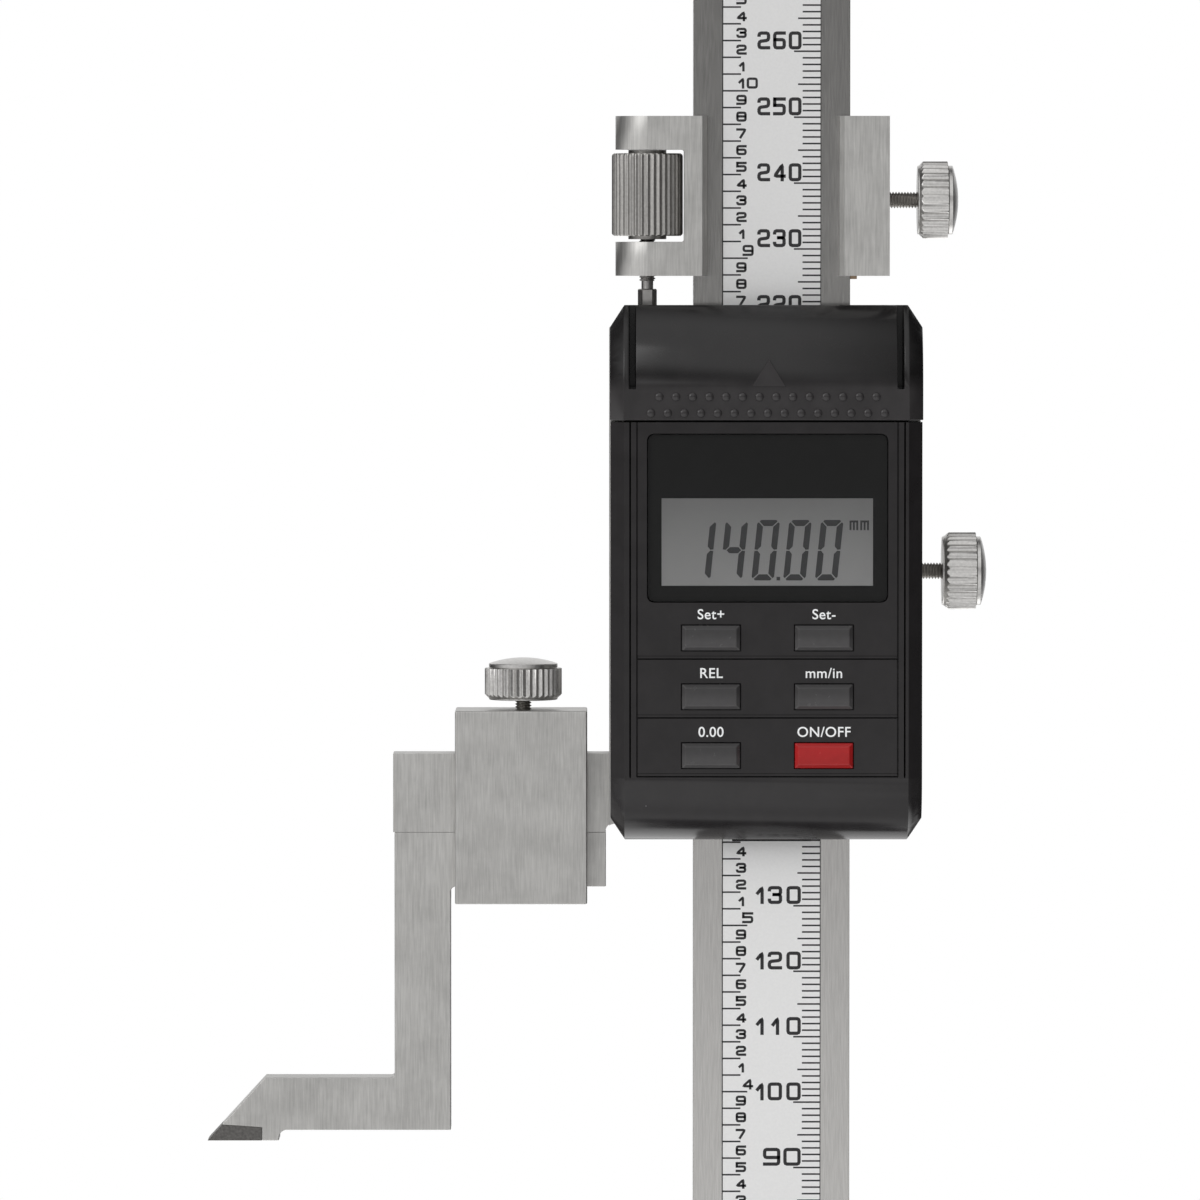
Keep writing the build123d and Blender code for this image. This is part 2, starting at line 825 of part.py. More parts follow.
def make_carriage():
    """The fine-adjustment block: it wraps the beam and holds the nut between two round-ended arms."""
    body = sliding_block(carriage_left, carriage_right, carriage_low, carriage_high)
    arm_back = rod_y + arm_radius
    arm = Pos((rod_x + carriage_left) / 2, rod_y) * Rectangle(carriage_left - rod_x, 2 * arm_radius)
    arm = arm + Pos(rod_x, rod_y) * Circle(arm_radius)
    arms = plan_plate(arm, carriage_low, carriage_high)
    slot = block(rod_x - 2 * arm_radius, carriage_left, frame_front - over, arm_back + over,
                 slot_floor, slot_roof)
    slot = fillet(slot.edges().filter_by(Axis.Y).group_by(Axis.X)[-1], slot_fillet)
    body = body + arms - slot
    body = body - bar((rod_x, rod_y, carriage_low - over), (rod_x, rod_y, carriage_high + over),
                      thread_radius + rod_clear)
    return body - bar((channel_right - over, 0, carriage_lock_z),
                      (carriage_right + over, 0, carriage_lock_z), thread_radius + thread_gap)


def make_nut():
    """The knurled nut with a plain collar at each end."""
    low = nut_low - collar_low
    high = nut_low + nut_length + collar_high
    body = knurled(nut_radius, nut_teeth, nut_low, nut_low + nut_length)
    body = body + bar((0, 0, low), (0, 0, high), collar_radius)
    bore = bar((0, 0, low - over), (0, 0, high + over), thread_radius + thread_gap)
    return Pos(rod_x, rod_y, 0) * (body - bore)


def make_rod():
    """The threaded rod fixed in the top of the slider: hexagon, neck and threaded end."""
    hex_top = frame_high + rod_hex_top
    neck_top = hex_top + rod_neck_length
    stem_low = frame_high - rod_in_frame + seat_gap
    stem = bar((rod_x, rod_y, stem_low), (rod_x, rod_y, frame_high), thread_radius)
    hexagon = Pos(rod_x, rod_y) * RegularPolygon(rod_hex_flats / 2, 6, major_radius=False)
    nut = plan_plate(hexagon, frame_high, hex_top)
    neck = bar((rod_x, rod_y, hex_top), (rod_x, rod_y, neck_top), rod_neck_radius)
    thread = bar((rod_x, rod_y, neck_top), (rod_x, rod_y, frame_high + rod_top), thread_radius)
    return stem + nut + neck + thread


# Scriber

def upright_edge(body, x, z):
    """The front-to-back edge of a plate that lies at this place."""
    found = []
    for edge in body.edges().filter_by(Axis.Y):
        if abs(edge.center().X - x) < seat_gap and abs(edge.center().Z - z) < seat_gap:
            found.append(edge)
    return found


def make_scriber():
    """The cranked scriber: shank, leg, foot with its ground sole, and the seat of the hard tip."""
    sole_right = tip_x + sole_length
    shank_right = frame_left - shank_end_gap
    shank_high = jaw_low - seat_gap
    outline = Polygon((tip_x, reading), (sole_right, reading), (sole_right, foot_low), (leg_right, foot_low),
                      (leg_right, shank_low), (shank_right, shank_low), (shank_right, shank_high),
                      (leg_left, shank_high), (leg_left, foot_high), (tip_x + tip_slope_run, foot_high),
                      align=None)
    body = front_plate(outline, jaw_front, jaw_back)
    body = fillet(upright_edge(body, leg_left, foot_high), inner_fillet)
    body = fillet(upright_edge(body, sole_right, foot_low), sole_fillet)
    body = fillet(upright_edge(body, leg_right, shank_low), leg_fillet)
    return body - front_plate(tip_outline(), jaw_front - over, jaw_back + over)


def tip_outline():
    """The front view of the hard insert."""
    slope = (foot_high - reading) / tip_slope_run
    right = tip_x + tip_length
    return Polygon((tip_x, reading), (right, reading), (right, reading + tip_height - tip_step),
                   (tip_x + tip_height / slope, reading + tip_height), align=None)


def make_tip():
    """The carbide insert brazed under the end of the foot."""
    return front_plate(tip_outline(), jaw_front, jaw_back)


def make_clamp():
    """The box that draws the scriber up against the jaw."""
    body = block(clamp_left, clamp_right, clamp_front, clamp_back, clamp_low, clamp_high)
    body = chamfer(body.edges(), clamp_chamfer)
    roof = clamp_high - clamp_roof
    body = body - block(clamp_left - over, clamp_right + over, jaw_front - clamp_side_gap,
                        jaw_back + clamp_side_gap, clamp_low + clamp_floor, roof)
    return body - bar((clamp_x, jaw_centre, roof - over), (clamp_x, jaw_centre, clamp_high + over),
                      thread_radius + thread_gap)


def make_clamp_lock():
    """The pad on top of the jaw and the thumb screw that presses it down."""
    pad_low = jaw_high + seat_gap
    screw_low = pad_low + pad_length + seat_gap
    pad = Pos(clamp_x, jaw_centre, pad_low) * make_lock_pad()
    screw = make_thumb_screw(clamp_high + clamp_neck - screw_low, clamp_knurl)
    return pad, Pos(clamp_x, jaw_centre, screw_low) * screw


# Everything together

key_names = ["zero_key", "power_key", "absolute_key", "unit_key", "preset_up_key", "preset_down_key"]

slider_pad, slider_screw = make_side_lock(frame_right, lock_z, slider_neck, slider_knurl)
carriage_pad, carriage_screw = make_side_lock(carriage_right, carriage_lock_z, carriage_neck,
                                              carriage_knurl)
clamp_pad, clamp_screw = make_clamp_lock()

pieces = {
    "base_block": make_base(),
    "beam": make_beam(),
    "beam_screws": make_beam_screws(),
    "beam_stop_screw": make_stop_screw(),
    "scale_board": make_scale_board(),
    "scale_film": make_scale_film(),
    "slider_frame": make_slider_frame(),
    "slider_gib": make_gib(frame_low + gib_hang, frame_high - gib_hang),
    "slider_gib_screws": make_set_screws(),
    "slider_lock_pad": slider_pad,
    "slider_lock_screw": slider_screw,
    "display_housing": make_housing(),
    "housing_screws": make_case_screws(),
    "display_window": make_window(),
    "lcd_panel": make_lcd(),
    "lcd_connectors": make_connectors(),
    "reader_board": make_reader_board(),
    "key_mat": make_key_mat(),
    "scale_wiper": make_wiper(),
    "coin_cell": make_cell(),
    "battery_contacts": make_contacts(),
    "battery_cover": make_cover(),
    "fine_adjust_rod": make_rod(),
    "fine_adjust_nut": make_nut(),
    "fine_adjust_carriage": make_carriage(),
    "carriage_gib": make_gib(carriage_low - gib_hang, carriage_high - gib_hang),
    "carriage_lock_pad": carriage_pad,
    "carriage_lock_screw": carriage_screw,
    "scriber": make_scriber(),
    "scriber_tip": make_tip(),
    "scriber_clamp": make_clamp(),
    "clamp_pad": clamp_pad,
    "clamp_screw": clamp_screw,
}
for name, (key_x, key_z) in zip(key_names, key_places()):
    pieces[name] = make_key(key_x, key_z)

os.makedirs("parts", exist_ok=True)
for name, piece in pieces.items():
    export_step(piece, "parts/" + name + ".step")
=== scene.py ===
from math import cos, pi, radians, sin, sqrt, tan

import bpy
from mathutils import Matrix, Vector


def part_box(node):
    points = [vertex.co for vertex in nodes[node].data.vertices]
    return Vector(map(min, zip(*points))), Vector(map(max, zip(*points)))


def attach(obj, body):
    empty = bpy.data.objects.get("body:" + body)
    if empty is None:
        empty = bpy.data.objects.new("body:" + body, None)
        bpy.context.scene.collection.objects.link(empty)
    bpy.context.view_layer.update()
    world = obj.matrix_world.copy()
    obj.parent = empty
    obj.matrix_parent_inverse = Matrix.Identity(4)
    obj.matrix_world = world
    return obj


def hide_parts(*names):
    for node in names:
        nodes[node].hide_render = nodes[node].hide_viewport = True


# Digital height gauge, finished for pictures. Sizes are millimetres, as in the CAD model.
# +Z runs up the beam, the front faces -Y, +X is to the right.

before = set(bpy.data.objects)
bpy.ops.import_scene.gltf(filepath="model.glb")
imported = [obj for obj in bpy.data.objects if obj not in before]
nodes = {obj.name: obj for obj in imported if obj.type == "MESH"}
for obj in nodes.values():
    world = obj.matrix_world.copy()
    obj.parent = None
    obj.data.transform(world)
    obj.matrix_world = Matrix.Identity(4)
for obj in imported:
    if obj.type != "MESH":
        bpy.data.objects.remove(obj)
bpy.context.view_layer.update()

MM = 0.001

# Printed scale
scale_zero = 45.87
scale_marks = 300
print_lift = 0.006
tick_right = 7.47
tick_thick = 0.25
tick_short = 2.8
tick_middle = 3.5
tick_long = 4.12
figure_height = 2.74
# Marks under this number, the width of a figure and the step from one figure to the next
figure_sizes = ((100, 2.65, 3.1), (200, 2.2, 2.85), (400, 1.95, 2.38))
figure_right = 4.5
figure_rise = 0.27
figure_stroke = 0.51
# Radius of a figure's corners, as a share of its stroke
figure_round = 0.62
inch = 25.4
inch_tick_left = -7.47
inch_tick_short = 2.78
inch_tick_long = 3.82
tenth_height = 1.55
tenth_width = 1.6
tenth_stroke = 0.37
tenth_centre = -4.62
tenth_rise = 0.39
whole_height = 1.69
whole_width = 1.7
whole_centre = -3.6
whole_pair_shift = -0.24
whole_rise = 0.33
whole_pitch = 1.72
border_x = 7.5
border_thick = 0.12
# Least share of a mitre that is drawn where two strokes meet
mitre_limit = 0.5

# Display
reading = "14000"
point_after = 3
segment_lift = 0.012
digit_height = 9.15
digit_width = 3.4
digit_pitch = 4.8
digit_bar = 0.93
digit_gap = 0.12
digit_cut = 0.22
digit_left = -12.85
digit_low = 225.85
digit_slant = tan(radians(6))
point_size = 0.55
unit_left = 11.75
unit_low = 233.45
unit_height = 1.32
unit_width = 1.02
unit_pitch = 1.62
unit_stroke = 0.3
border_ahead = 0.02
border_inset = 0.04
border_corner = 0.92
border_steps = 6
view_left = -16.8
view_right = 15.15
view_low = 225.05
view_high = 238.27

# Key panels and the painted shadow lines drawn in the joints round them, round the window and under the cover
panel_half = 19.7
panel_rail = 1.05
panel_low = 196.2
panel_pitch = 8.9
panel_rise = 0.2
panel_rows = 3
joint_ahead = 0.004
panel_joint = 0.06
rail_joint = 0.17
row_joint = 0.1
step_low = 0.43
step_high = 0.49
joint_below_seam = 0.3
seam_inset = 2.2
seam_thick = 0.2
seam_gap = 0.02
window_joint = 0.13
window_round = 1.0

# Legends
legend_size = 2.15
legend_above_key = 3.5
legend_ahead = 0.02
legend_weight = 0.02
legend_spacing = 1.06

# Battery cover: its rolled front, the arrow and the grip dots
roll_start = 255.1
roll_radius = 14.31
arrow_x = -0.6
arrow_low = 255.15
arrow_high = 259.3
arrow_width = 5.2
arrow_rise = 0.08
arrow_sink = 0.05
arrow_slope = 0.1
arrow_lean = 0.04
arrow_tip_half = 0.02
arrow_face_half = 0.01
arrow_steps = 12
dot_radius = 0.66
dot_rise = 0.34
dot_pitch = 2.52
dot_sink = 0.1
dot_tip = 0.05
dot_sides = 20
# A dot's outline: shares of its radius and of its rise
dot_outline = ((1.0, 0.0), (0.95, 0.45), (0.8, 0.75), (0.5, 0.95))
# Rows of dots: height and count
dot_rows = ((251.16, 15), (253.62, 14))

# Threads and knurls
pitch = 0.45
thread_radius = 1.25
thread_depth = 0.26
thread_flank = 1.3
thread_crest = 0.15
thread_steps = 12
thread_sides = 32
knurl_depth = 0.34
knurl_flank = 1.1
knurl_power = 1.6
points_per_tooth = 12

# Thumb screws
head_radius = 5.87
head_rim = 5.24
head_back = 4.6
head_land = 0.2
head_cap = 0.75
head_dome = 0.85
cap_neck = 5.0
cap_sink = 0.2
cap_foot = 0.04
cap_sides = 96
cone_steps = 8
dome_inset = 0.12
dome_rings = 12
dome_tip = 0.01
thread_in_head = 0.3
side_teeth = 30
clamp_teeth = 36
slider_back = 1.05
slider_knurl = 4.1
carriage_back = 0.85
carriage_knurl = 3.75
clamp_back = 0.85
clamp_knurl = 3.95

# Corners of turned pieces: steps inward and along Z from the sharp corner
back_corner = ((0.08, 0), (0, 0.06), (0, head_land))
front_corner = ((0, -0.08), (0.1, 0), (0.5, 0))
cap_foot_corner = ((0.06, 0.08), (0, 0.16))
cap_front_corner = ((0, -0.1), (0.1, 0))
nut_corner = ((0.35, 0), (0.1, 0.18), (0, 0.4))
hexagon_low_corner = ((0.08, 0), (0, 0.08))
hexagon_high_corner = ((0, -0.15), (0.15, 0))

# Fine-adjust nut and rod
nut_teeth = 36
nut_depth = 0.26
nut_radius = 5.4
nut_bore = 1.28
collar_radius = 2.9
collar_length = 0.5
hexagon_flats = 2.5
hexagon_length = 3.6
neck_radius = 0.9
neck_length = 1.2
neck_overlap = 0.1
neck_sides = 40
rod_in_frame = 9.0
rod_seat = 0.02
rod_overlap = 0.05
rod_top = 24.0

# Edges and shading of meshes
weld_distance = 0.001
flat_angle = radians(0.5)
sharp_angle = radians(32)
smooth_angle = radians(35)
bevel_segments = 2

# Surfaces; a grain is in cycles per metre
along_z = (5200, 5200, 260)
fine = (2500, 2500, 2500)
medium = (900, 900, 900)
broad = (300, 300, 300)
cloudy = (60, 60, 90)
shade_stops = (0.3, 0.7)
plain_ior = 1.45
lowest_roughness = 0.02
grain_detail = 6.0
dust_scale = 420.0
dust_rim = 0.035
dust_core = 0.02
dust_grey = (0.35, 0.35, 0.36, 1)
wear_detail = 8.0
wear_roughness = 0.62
wear_start = 0.35
wear_end = 0.6
pane_tint = (0.93, 0.93, 0.93, 1)
pane_roughness = 0.05

# Camera and lamp
camera_place = (-26.1, -1503.0, 282.7)
camera_down = 2.3
camera_lens = 295.8
camera_sensor = 36
camera_reach = 20
lamp_aim = (0, 0, 230)


def place(node):
    """Lowest and highest corner of a CAD node, in millimetres."""
    low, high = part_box(node)
    return low / MM, high / MM


# Node helpers

def level_between(tree, socket, start, end, low, high, smooth=False):
    """A value that goes from low, where the socket is at start, to high, where it is at end."""
    node = tree.nodes.new("ShaderNodeMapRange")
    if smooth:
        node.interpolation_type = "SMOOTHSTEP"
    for key, value in (("From Min", start), ("From Max", end), ("To Min", low), ("To Max", high)):
        node.inputs[key].default_value = value
    tree.links.new(socket, node.inputs["Value"])
    return node.outputs["Result"]


def combined(tree, operation, first, second):
    """The result of a Math node on a socket and a second socket or number."""
    node = tree.nodes.new("ShaderNodeMath")
    node.operation = operation
    tree.links.new(first, node.inputs[0])
    if isinstance(second, float):
        node.inputs[1].default_value = second
    else:
        tree.links.new(second, node.inputs[1])
    return node.outputs["Value"]


def mixed(tree, share, first, second):
    """The colour from a socket, mixed by share with a fixed one."""
    node = tree.nodes.new("ShaderNodeMix")
    node.data_type = "RGBA"
    sockets = [socket for socket in node.inputs if socket.type == "RGBA"]
    tree.links.new(share, node.inputs[0])
    tree.links.new(first, sockets[0])
    sockets[1].default_value = second
    return next(socket for socket in node.outputs if socket.type == "RGBA")


def height_in(tree):
    """The height of the shaded point, in metres."""
    split = tree.nodes.new("ShaderNodeSeparateXYZ")
    tree.links.new(tree.nodes["Texture Coordinate"].outputs["Object"], split.inputs["Vector"])
    return split.outputs["Z"]


def colour_of(material):
    """A material's nodes, its shader and the socket that its colour comes from."""
    tree = material.node_tree
    shader = tree.nodes["Principled BSDF"]
    return tree, shader, shader.inputs["Base Color"].links[0].from_socket


def scale_colour(material, level):
    """Multiplies a material's colour by the value of a socket."""
    tree, shader, base = colour_of(material)
    both = tree.nodes.new("ShaderNodeVectorMath")
    both.operation = "SCALE"
    tree.links.new(base, both.inputs[0])
    tree.links.new(level, both.inputs["Scale"])
    tree.links.new(both.outputs["Vector"], shader.inputs["Base Color"])
    return material


# Materials

def surface(name, color, metallic, roughness, grain, spread, shade, bump=0.0):
    """A material whose colour, gloss and height vary with a noise stretched by grain, in cycles per metre."""
    material = bpy.data.materials.new(name)
    material.use_nodes = True
    tree = material.node_tree
    shader = tree.nodes["Principled BSDF"]
    shader.inputs["Metallic"].default_value = metallic
    shader.inputs["IOR"].default_value = plain_ior
    where = tree.nodes.new("ShaderNodeTexCoord")
    stretch = tree.nodes.new("ShaderNodeMapping")
    stretch.inputs["Scale"].default_value = grain
    noise = tree.nodes.new("ShaderNodeTexNoise")
    noise.inputs["Scale"].default_value = 1.0
    noise.inputs["Detail"].default_value = grain_detail
    tree.links.new(where.outputs["Object"], stretch.inputs["Vector"])
    tree.links.new(stretch.outputs["Vector"], noise.inputs["Vector"])
    gloss = level_between(tree, noise.outputs["Fac"], 0.0, 1.0, max(roughness - spread, lowest_roughness),
                          roughness + spread)
    tree.links.new(gloss, shader.inputs["Roughness"])
    shades = tree.nodes.new("ShaderNodeValToRGB")
    for stop, position, factor in zip(shades.color_ramp.elements, shade_stops, (1 - shade, 1 + shade)):
        stop.position = position
        stop.color = [min(channel * factor, 1.0) for channel in color] + [1.0]
    tree.links.new(noise.outputs["Fac"], shades.inputs["Fac"])
    tree.links.new(shades.outputs["Color"], shader.inputs["Base Color"])
    if bump:
        relief = tree.nodes.new("ShaderNodeBump")
        relief.inputs["Strength"].default_value = 1.0
        relief.inputs["Distance"].default_value = bump * MM
        tree.links.new(noise.outputs["Fac"], relief.inputs["Height"])
        tree.links.new(relief.outputs["Normal"], shader.inputs["Normal"])
    return material


def dusty(material, amount):
    """Adds small pale specks, the dust that shows on black plastic."""
    tree, shader, base = colour_of(material)
    cells = tree.nodes.new("ShaderNodeTexVoronoi")
    cells.inputs["Scale"].default_value = dust_scale
    tree.links.new(tree.nodes["Texture Coordinate"].outputs["Object"], cells.inputs["Vector"])
    speck = level_between(tree, cells.outputs["Distance"], dust_rim, dust_core, 0.0, 1.0)
    split = tree.nodes.new("ShaderNodeSeparateColor")
    tree.links.new(cells.outputs["Color"], split.inputs["Color"])
    chosen = combined(tree, "GREATER_THAN", split.outputs["Red"], 1.0 - amount)
    shown = mixed(tree, combined(tree, "MULTIPLY", speck, chosen), base, dust_grey)
    tree.links.new(shown, shader.inputs["Base Color"])
    return material


def brushed(material, amount):
    """Spreads reflections sideways only, as an upright ground finish does."""
    tree = material.node_tree
    shader = tree.nodes["Principled BSDF"]
    around = tree.nodes.new("ShaderNodeTangent")
    around.direction_type = "RADIAL"
    around.axis = "Z"
    shader.inputs["Anisotropic"].default_value = amount
    tree.links.new(around.outputs["Tangent"], shader.inputs["Tangent"])
    return material


def blotched(material, scale, amount):
    """Multiplies the colour by a slow noise, the stains and wear of handled steel."""
    tree = material.node_tree
    slow = tree.nodes.new("ShaderNodeTexNoise")
    slow.inputs["Scale"].default_value = scale
    slow.inputs["Detail"].default_value = wear_detail
    slow.inputs["Roughness"].default_value = wear_roughness
    tree.links.new(tree.nodes["Texture Coordinate"].outputs["Object"], slow.inputs["Vector"])
    return scale_colour(material, level_between(tree, slow.outputs["Fac"], wear_start, wear_end, 1 - amount,
                                                1 + amount / 3))


def faded(material, low, high, at_low, at_high):
    """Paints light or shade into the colour: it changes evenly between two heights in millimetres."""
    tree = material.node_tree
    return scale_colour(material, level_between(tree, height_in(tree), low * MM, high * MM, at_low, at_high))


def banded(material, reach, at_low, at_high):
    """Paints shade into each row of keys, one level below a key's middle and another above it, standing in for
    the reflection of a slightly hollow face.
    """
    key_low, key_high = place("zero_key")
    row_edge = (key_low.z + key_high.z) / 2 - panel_pitch / 2
    tree = material.node_tree
    above = combined(tree, "SUBTRACT", height_in(tree), row_edge * MM)
    row = combined(tree, "MODULO", above, panel_pitch * MM)
    return scale_colour(material, level_between(tree, row, (panel_pitch / 2 - reach) * MM,
                                                (panel_pitch / 2 + reach) * MM, at_low, at_high, smooth=True))


def matted(material, level):
    """Lowers the plain reflection of a non-metal."""
    material.node_tree.nodes["Principled BSDF"].inputs["Specular IOR Level"].default_value = level
    return material


def clear_pane(name):
    """A thin clear pane: what lies behind it, with a clean reflection over it."""
    material = surface(name, (0.9, 0.9, 0.9), 0.0, 0.06, broad, 0.02, 0.01)
    tree = material.node_tree
    through = tree.nodes.new("ShaderNodeBsdfTransparent")
    through.inputs["Color"].default_value = pane_tint
    gloss = tree.nodes.new("ShaderNodeBsdfGlossy")
    gloss.inputs["Roughness"].default_value = pane_roughness
    edge_glow = tree.nodes.new("ShaderNodeFresnel")
    edge_glow.inputs["IOR"].default_value = plain_ior
    mix = tree.nodes.new("ShaderNodeMixShader")
    tree.links.new(edge_glow.outputs["Fac"], mix.inputs[0])
    tree.links.new(through.outputs["BSDF"], mix.inputs[1])
    tree.links.new(gloss.outputs["BSDF"], mix.inputs[2])
    tree.links.new(mix.outputs["Shader"], tree.nodes["Material Output"].inputs["Surface"])
    tree.nodes.remove(tree.nodes["Principled BSDF"])
    return material


# Name, colour, metallic, roughness, grain, spread of the roughness, shade of the colour, relief in millimetres
beam_steel = brushed(surface("beam steel", (0.545, 0.535, 0.52), 1.0, 0.24, along_z, 0.03, 0.1, 0.0004), 0.85)
frame_steel = blotched(surface("frame steel", (0.53, 0.523, 0.508), 1.0, 0.44, along_z, 0.06, 0.12, 0.0012),
                       scale=170, amount=0.1)
screw_steel = surface("screw steel", (0.42, 0.41, 0.4), 1.0, 0.32, medium, 0.06, 0.1)
chrome = surface("bright screw", (0.6, 0.59, 0.575), 1.0, 0.34, fine, 0.08, 0.12, 0.0015)
thread_steel = surface("thread steel", (0.4, 0.385, 0.365), 1.0, 0.36, medium, 0.06, 0.15)
nut_steel = surface("nut steel", (0.42, 0.41, 0.395), 1.0, 0.38, fine, 0.08, 0.1, 0.002)
carbide = surface("carbide", (0.15, 0.145, 0.14), 1.0, 0.5, fine, 0.1, 0.25)
bronze = surface("bronze", (0.4, 0.29, 0.2), 1.0, 0.45, along_z, 0.05, 0.08)
black_case = dusty(surface("black case", (0.0183, 0.0166, 0.0174), 0.0, 0.19, broad, 0.04, 0.12), 0.05)
black_cover = dusty(surface("black cover", (0.022, 0.0204, 0.021), 0.0, 0.19, broad, 0.04, 0.12), 0.05)
# Painted reflection: the cover's flat band below the roll is made lighter and its rolled top darker.
faded(black_cover, low=254.4, high=257.0, at_low=1.55, at_high=0.55)
# The grip's colour is the cover's colour at its painted lighter band, so the raised arrow and dots carry the
# same painted reflection.
grip_black_painted_lighter = surface("black grip", (0.034, 0.0315, 0.0325), 0.0, 0.19, broad, 0.04, 0.12)
# Painted shadow: near-black, drawn over the joints and grooves of the black case.
joint_painted_shadow = matted(surface("joint shadow", (0.001, 0.001, 0.001), 0.0, 0.6, broad, 0.05, 0.05), 0.0)
key_grey = surface("key grey", (0.056, 0.054, 0.055), 0.0, 0.26, medium, 0.04, 0.05)
# Painted shade on the grey keys: lighter below each key's middle, darker above it.
banded(key_grey, reach=0.9, at_low=1.22, at_high=0.84)
key_red = surface("key red", (0.4, 0.011, 0.012), 0.0, 0.26, medium, 0.04, 0.05)
# Painted shade on the red key: a little darker below its middle, a little lighter above it.
banded(key_red, reach=0.9, at_low=0.94, at_high=1.04)
glass = clear_pane("window")
mask_black = matted(surface("window border", (0.023, 0.023, 0.023), 0.0, 0.35, broad, 0.05, 0.05), 0.15)
lcd_grey = surface("display", (0.65, 0.65, 0.648), 0.0, 0.5, cloudy, 0.05, 0.03)
# Painted shade: the display is made darker towards the top.
faded(lcd_grey, low=224, high=238, at_low=1.0, at_high=0.63)
lcd_dark = surface("display segments", (0.09, 0.09, 0.094), 0.0, 0.5, medium, 0.05, 0.08)
film = surface("scale film", (0.84, 0.838, 0.835), 0.0, 0.38, fine, 0.05, 0.02)
# Painted shade: the scale film is made a little lighter towards the bottom and darker towards the top, to even
# out the light on it.
faded(film, low=180, high=260, at_low=1.04, at_high=0.93)
print_black = surface("scale print", (0.02, 0.019, 0.021), 0.0, 0.5, fine, 0.05, 0.2)
legend_white = surface("legend white", (0.97, 0.99, 1.0), 0.0, 0.5, fine, 0.05, 0.02)
board_green = surface("circuit board", (0.02, 0.12, 0.05), 0.0, 0.35, medium, 0.05, 0.15)
silicone = surface("silicone", (0.18, 0.18, 0.19), 0.0, 0.6, medium, 0.05, 0.05)
felt = surface("felt", (0.02, 0.02, 0.021), 0.0, 0.95, fine, 0.04, 0.4, 0.05)
cell_nickel = surface("cell nickel", (0.66, 0.65, 0.63), 1.0, 0.22, medium, 0.05, 0.05)
base_paint = surface("base enamel", (0.085, 0.088, 0.092), 0.0, 0.42, fine, 0.06, 0.08, 0.012)

finishes = {
    "base_block": base_paint, "beam": beam_steel, "beam_screws": screw_steel, "beam_stop_screw": screw_steel,
    "scale_board": board_green, "scale_film": film, "slider_frame": frame_steel, "slider_gib": bronze,
    "slider_gib_screws": screw_steel, "slider_lock_pad": bronze, "slider_lock_screw": chrome,
    "display_housing": black_case, "housing_screws": screw_steel, "display_window": glass,
    "lcd_panel": lcd_grey, "lcd_connectors": silicone, "reader_board": board_green,
    "key_mat": silicone, "scale_wiper": felt, "coin_cell": cell_nickel,
    "battery_contacts": screw_steel, "battery_cover": black_cover, "fine_adjust_rod": screw_steel,
    "fine_adjust_nut": nut_steel, "fine_adjust_carriage": frame_steel, "carriage_gib": bronze,
    "carriage_lock_pad": bronze, "carriage_lock_screw": chrome, "scriber": frame_steel,
    "scriber_tip": carbide, "scriber_clamp": frame_steel, "clamp_pad": bronze, "clamp_screw": chrome,
    "preset_up_key": key_grey, "preset_down_key": key_grey, "absolute_key": key_grey,
    "unit_key": key_grey, "zero_key": key_grey, "power_key": key_red,
}
for name, material in finishes.items():
    piece = nodes[name]
    if not piece.material_slots:
        piece.data.materials.append(material)
    for material_slot in piece.material_slots:
        material_slot.link = "OBJECT"
        material_slot.material = material


def soften(node, width):
    """Rounds a CAD node's sharp edges a little for the picture."""
    piece = nodes[node]
    weld = piece.modifiers.new("weld", "WELD")
    weld.merge_threshold = weld_distance * MM
    flat = piece.modifiers.new("flat faces", "DECIMATE")
    flat.decimate_type = "DISSOLVE"
    flat.angle_limit = flat_angle
    bevel = piece.modifiers.new("bevel", "BEVEL")
    bevel.width = width * MM
    bevel.segments = bevel_segments
    bevel.limit_method = "ANGLE"
    bevel.angle_limit = sharp_angle
    bevel.harden_normals = True


edge_widths = {
    "base_block": 0.5, "beam": 0.12, "slider_frame": 0.2, "fine_adjust_carriage": 0.18, "scriber": 0.12,
    "scriber_clamp": 0.07, "scriber_tip": 0.05, "preset_up_key": 0.12, "preset_down_key": 0.12,
    "absolute_key": 0.12, "unit_key": 0.12, "zero_key": 0.12, "power_key": 0.12, "display_housing": 0.12,
    "battery_cover": 0.12,
}
for name, width in edge_widths.items():
    soften(name, width)


# Mesh helpers

def add_mesh(name, points, faces, material, body, smooth=False):
    """A new piece from points in millimetres, which rides on a body."""
    mesh = bpy.data.meshes.new(name)
    mesh.from_pydata([Vector(p) * MM for p in points], [], faces)
    mesh.materials.append(material)
    mesh.validate()
    piece = bpy.data.objects.new(name, mesh)
    bpy.context.scene.collection.objects.link(piece)
    if smooth:
        mesh.shade_smooth()
        mesh.set_sharp_from_angle(angle=smooth_angle)
    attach(piece, body)
    return piece


